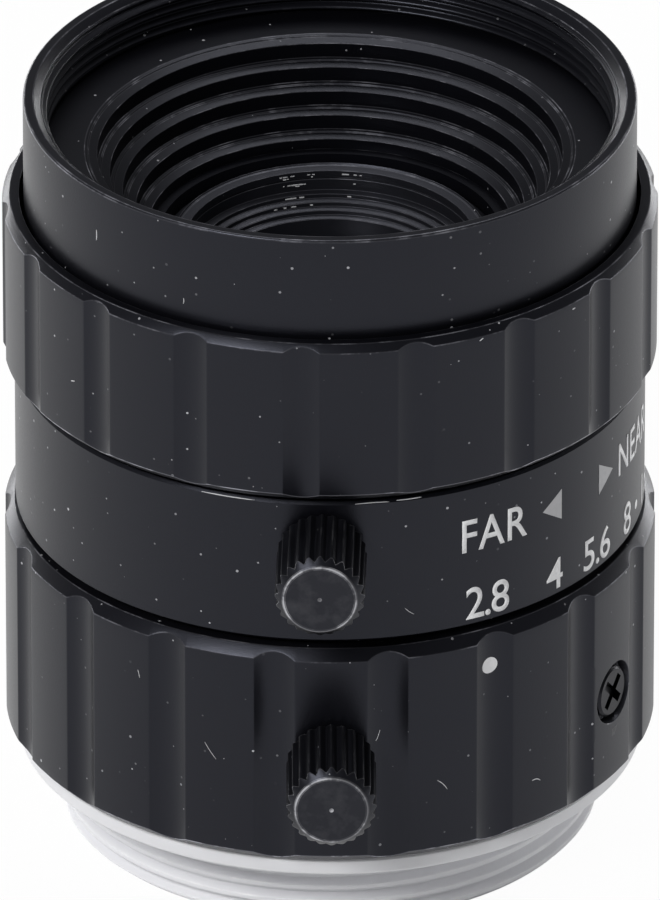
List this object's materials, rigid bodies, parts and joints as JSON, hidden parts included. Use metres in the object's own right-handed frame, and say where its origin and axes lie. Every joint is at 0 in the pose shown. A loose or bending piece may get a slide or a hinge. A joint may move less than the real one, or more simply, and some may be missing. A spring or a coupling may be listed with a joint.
{
  "type": "machine vision lens",
  "caption": "Fixed focal length machine vision lens with fluted focus and iris rings, thumbscrew locks, a working iris and a one inch camera thread.",
  "frame": {"origin": "on the optical axis, in the plane of the mount flange's seat", "axes": "+Z out of the front of the lens, -Y towards the focus lock screw, +X to the right of it seen from outside"},
  "size_m": [0.031, 0.0357, 0.0374],
  "materials": {
    "black_anodised": "satin black anodised",
    "silver_anodised": "satin clear anodised",
    "matte_black": "matt black anodised",
    "steel": "turned",
    "blackened_steel": "blackened",
    "blade_black": "matt blackened spring steel",
    "coated_glass": "anti-reflection coated optical glass"
  },
  "bodies": {
    "fixed_barrel": {"c_mount_ring": "silver_anodised", "rear_light_baffle": "matte_black", "main_barrel": "black_anodised", "focus_retaining_ring": "black_anodised"},
    "focus_ring": {"focus_ring": "black_anodised"},
    "lens_cell": {"front_barrel": "black_anodised", "stepped_baffle": "matte_black", "lens_cell": "black_anodised", "cell_guide_pins": "steel", "front_retaining_ring": "matte_black", "front_element": "coated_glass", "front_spacer": "matte_black", "second_element": "coated_glass", "middle_spacer": "matte_black", "third_element": "coated_glass", "iris_pivot_plate": "matte_black", "rear_cell": "black_anodised", "fourth_element": "coated_glass", "rear_spacer": "matte_black", "rear_element": "coated_glass", "rear_retaining_ring": "matte_black"},
    "iris_ring": {"iris_ring": "black_anodised", "iris_drive_screw": "blackened_steel"},
    "iris_rotor": {"iris_rotor": "steel", "iris_drive_arm": "steel"},
    "iris_blade_1": {"iris_blade_1": "blade_black"},
    "iris_blade_2": {"iris_blade_2": "blade_black"},
    "iris_blade_3": {"iris_blade_3": "blade_black"},
    "iris_blade_4": {"iris_blade_4": "blade_black"},
    "iris_blade_5": {"iris_blade_5": "blade_black"},
    "iris_blade_6": {"iris_blade_6": "blade_black"},
    "iris_lock_screw": {"iris_lock_screw": "black_anodised"},
    "focus_lock_screw": {"focus_lock_screw": "black_anodised"}
  },
  "joints": [
    {"name": "focus_turn", "type": "hinge", "parent": "fixed_barrel", "child": "focus_ring", "pos_m": [0, 0, 0.0245], "axis": [0, 0, 1], "range_deg": [0, 200]},
    {"name": "focus_slide", "type": "slide", "parent": "fixed_barrel", "child": "lens_cell", "axis": [0, 0, 1], "range_m": [0, 0.0025]},
    {"name": "iris_turn", "type": "hinge", "parent": "fixed_barrel", "child": "iris_ring", "pos_m": [0, 0, 0.0066], "axis": [0, 0, 1], "range_deg": [0, 54]},
    {"name": "rotor_turn", "type": "hinge", "parent": "lens_cell", "child": "iris_rotor", "pos_m": [0, 0, 0.0079], "axis": [0, 0, 1], "range_deg": [0, 54]},
    {"name": "blade_1_swing", "type": "hinge", "parent": "lens_cell", "child": "iris_blade_1", "pos_m": [0, -0.0086, 0.009], "axis": [0, 0, 1], "range_deg": [0, 29.5]},
    {"name": "blade_2_swing", "type": "hinge", "parent": "lens_cell", "child": "iris_blade_2", "pos_m": [0.00745, -0.0043, 0.009], "axis": [0, 0, 1], "range_deg": [0, 29.5]},
    {"name": "blade_3_swing", "type": "hinge", "parent": "lens_cell", "child": "iris_blade_3", "pos_m": [0.00745, 0.0043, 0.009], "axis": [0, 0, 1], "range_deg": [0, 29.5]},
    {"name": "blade_4_swing", "type": "hinge", "parent": "lens_cell", "child": "iris_blade_4", "pos_m": [0, 0.0086, 0.009], "axis": [0, 0, 1], "range_deg": [0, 29.5]},
    {"name": "blade_5_swing", "type": "hinge", "parent": "lens_cell", "child": "iris_blade_5", "pos_m": [-0.00745, 0.0043, 0.009], "axis": [0, 0, 1], "range_deg": [0, 29.5]},
    {"name": "blade_6_swing", "type": "hinge", "parent": "lens_cell", "child": "iris_blade_6", "pos_m": [-0.00745, -0.0043, 0.009], "axis": [0, 0, 1], "range_deg": [0, 29.5]},
    {"name": "iris_lock_turn", "type": "hinge", "parent": "iris_ring", "child": "iris_lock_screw", "pos_m": [0.00043, -0.01549, 0.0066], "axis": [0.0279, -0.9996, 0], "range_deg": [0, 360]},
    {"name": "focus_lock_turn", "type": "hinge", "parent": "fixed_barrel", "child": "focus_lock_screw", "pos_m": [0, -0.0149, 0.0175], "axis": [0, -1, 0], "range_deg": [0, 360]}
  ],
  "couplings": [
    {"joint": "focus_turn", "follows": "focus_slide", "rad_per_m": 1396.3},
    {"joint": "rotor_turn", "follows": "iris_turn", "ratio": 1},
    {"joint": "blade_1_swing", "follows": "iris_turn", "ratio": 0.5463},
    {"joint": "blade_2_swing", "follows": "iris_turn", "ratio": 0.5463},
    {"joint": "blade_3_swing", "follows": "iris_turn", "ratio": 0.5463},
    {"joint": "blade_4_swing", "follows": "iris_turn", "ratio": 0.5463},
    {"joint": "blade_5_swing", "follows": "iris_turn", "ratio": 0.5463},
    {"joint": "blade_6_swing", "follows": "iris_turn", "ratio": 0.5463}
  ]
}
